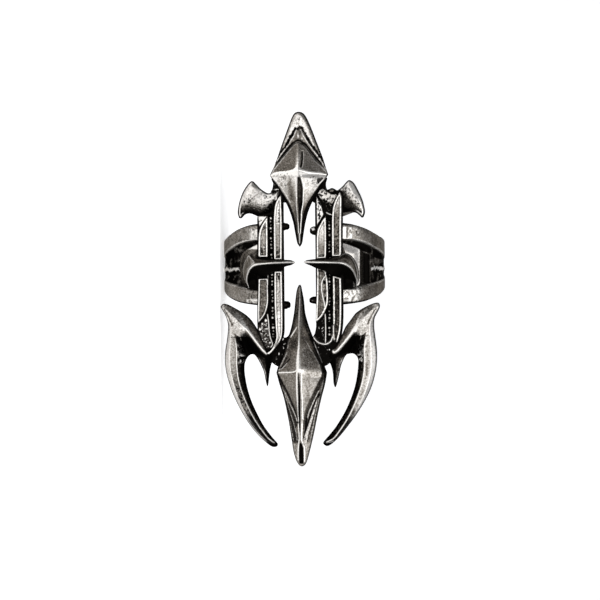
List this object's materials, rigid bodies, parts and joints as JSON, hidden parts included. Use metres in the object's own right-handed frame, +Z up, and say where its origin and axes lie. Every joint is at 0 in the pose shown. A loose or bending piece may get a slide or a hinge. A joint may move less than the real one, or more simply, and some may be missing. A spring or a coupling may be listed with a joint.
{
  "type": "open spearhead ring",
  "caption": "Open finger ring in antiqued white metal with a long openwork head of spearheads, wings, claws and thorns, lying on its side.",
  "frame": {"origin": "middle of the underside of the ring's box as it rests on its side, on the table", "axes": "+X along the finger, towards the lower spearhead; -Y out of the head's face; +Z up"},
  "size_m": [0.0476, 0.024, 0.0218],
  "materials": {
    "antiqued_metal": "antiqued white metal: worn bright ridges, satin grey facets with fine pitting, blackened recesses"
  },
  "bodies": {
    "root": {"ring": "antiqued_metal"}
  },
  "joints": []
}
